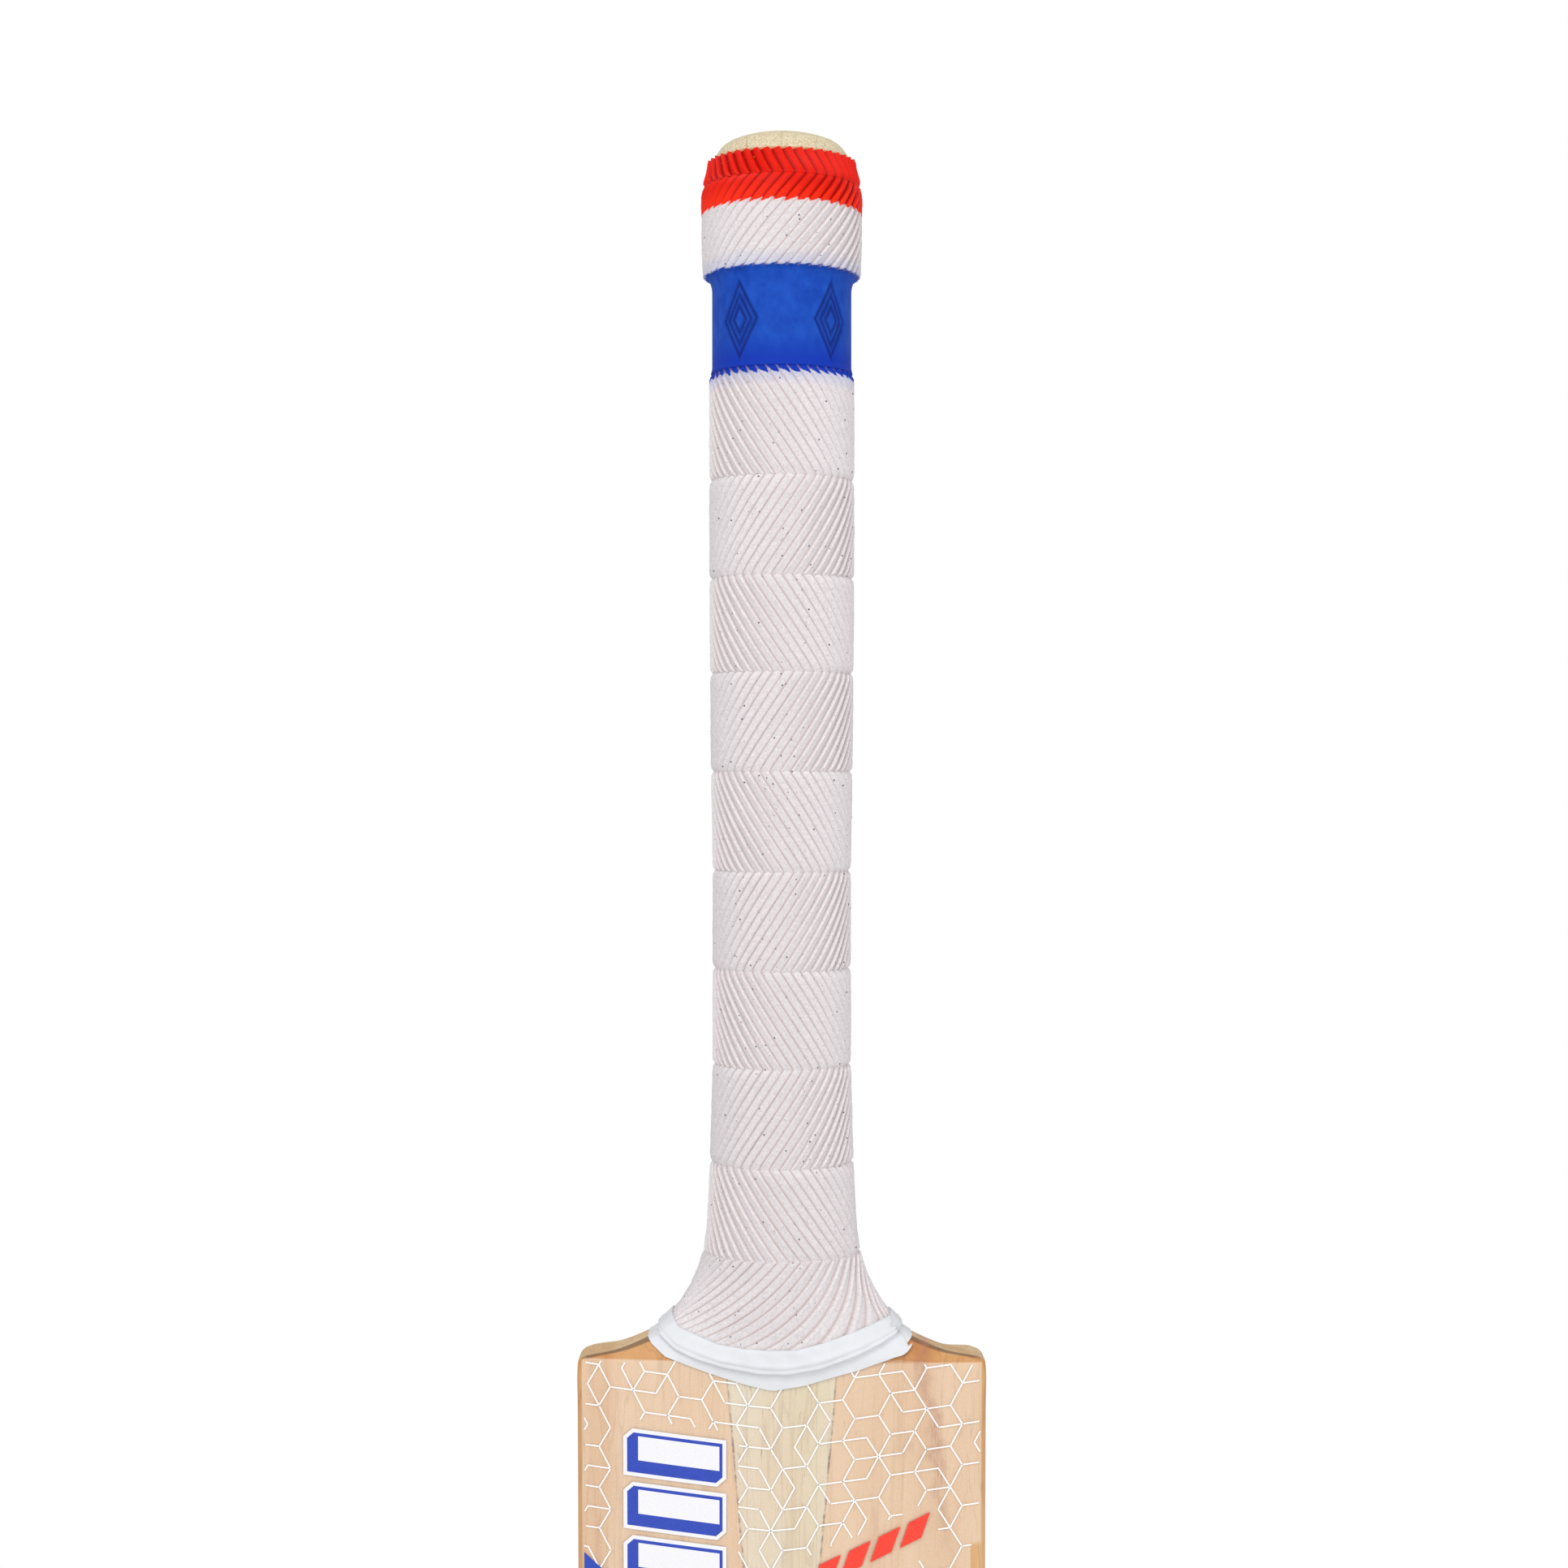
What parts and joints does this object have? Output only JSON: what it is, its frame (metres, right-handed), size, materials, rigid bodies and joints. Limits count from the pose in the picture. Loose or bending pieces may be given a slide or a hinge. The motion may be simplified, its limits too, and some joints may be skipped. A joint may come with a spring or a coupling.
{
  "type": "cricket bat",
  "caption": "Long-handle cricket bat: willow blade with a bowed face and ridged back, spliced cane handle, ribbed rubber grip, shoulder tape, face sheet, toe guard.",
  "frame": {"origin": "middle of the toe guard's flat underside, where the bat stands on its toe", "axes": "+Z from the toe up the handle, -Y out of the hitting face, +X to the right as the face is looked at"},
  "size_m": [0.108, 0.081, 0.885],
  "materials": {
    "willow": "oiled pale willow with a straight grain",
    "cane": "bare cane, pored end grain",
    "spring_rubber": "matte dark rubber strip",
    "toe_rubber": "matte black rubber",
    "twine": "waxed twine, tightly wound",
    "grip_rubber": "matte white rubber with slanted ribs, a blue band and a red end",
    "white_tape": "white woven adhesive tape",
    "clear_film": "clear film with a fine white lattice",
    "blue_vinyl": "white and blue printed vinyl",
    "red_vinyl": "red printed vinyl"
  },
  "bodies": {
    "root": {"blade": "willow", "toe_guard": "toe_rubber", "cane_slip_front_1": "cane", "cane_slip_front_2": "cane", "cane_slip_front_3": "cane", "cane_slip_front_4": "cane", "cane_slip_middle_1": "cane", "cane_slip_middle_2": "cane", "cane_slip_middle_3": "cane", "cane_slip_middle_4": "cane", "cane_slip_back_1": "cane", "cane_slip_back_2": "cane", "cane_slip_back_3": "cane", "cane_slip_back_4": "cane", "rubber_spring_front": "spring_rubber", "rubber_spring_back": "spring_rubber", "twine_binding": "twine", "grip": "grip_rubber", "shoulder_tape": "white_tape", "face_sheet": "clear_film", "panel_sticker": "blue_vinyl", "flash_sticker": "red_vinyl"}
  },
  "joints": []
}
